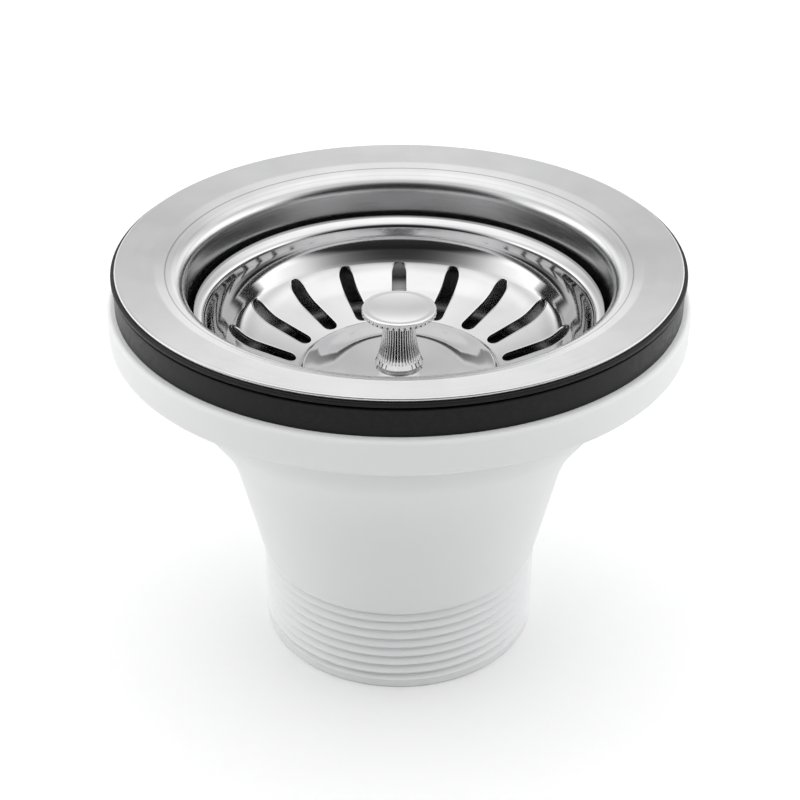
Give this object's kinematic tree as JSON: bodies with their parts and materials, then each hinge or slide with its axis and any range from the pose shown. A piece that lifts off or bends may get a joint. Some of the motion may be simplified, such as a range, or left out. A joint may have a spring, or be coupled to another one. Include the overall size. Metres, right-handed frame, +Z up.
{
  "type": "sink waste",
  "caption": "Basket sink waste: round steel flange and cup with a lift-out slotted strainer and knob, black seals, and a white bell-shaped body with a threaded outlet.",
  "frame": {"origin": "centre of the outlet's end face, on which the waste stands", "axes": "+Z up along the waste's axis, from the outlet to the steel flange; -Y is the picture's near side"},
  "size_m": [0.1162, 0.1162, 0.0874],
  "materials": {
    "flange_steel": "satin",
    "basket_steel": "polished",
    "knob_chrome": "polished",
    "plain_steel": "turned",
    "black_rubber": "matt",
    "white_plastic": "moulded",
    "brass": "turned"
  },
  "bodies": {
    "waste": {"flange_cup": "flange_steel", "upper_seal": "black_rubber", "lower_seal": "black_rubber", "waste_body": "white_plastic", "clamp_screw": "plain_steel", "screw_washer": "plain_steel", "threaded_insert": "brass"},
    "plug": {"strainer_basket": "basket_steel", "basket_knob": "knob_chrome", "plug_stopper": "black_rubber", "stopper_plate": "plain_steel", "plug_post": "plain_steel", "catch_ring": "black_rubber"}
  },
  "joints": [
    {"name": "plug_lift", "type": "slide", "parent": "waste", "child": "plug", "axis": [0, 0, 1], "range_m": [0, 0.06]}
  ]
}
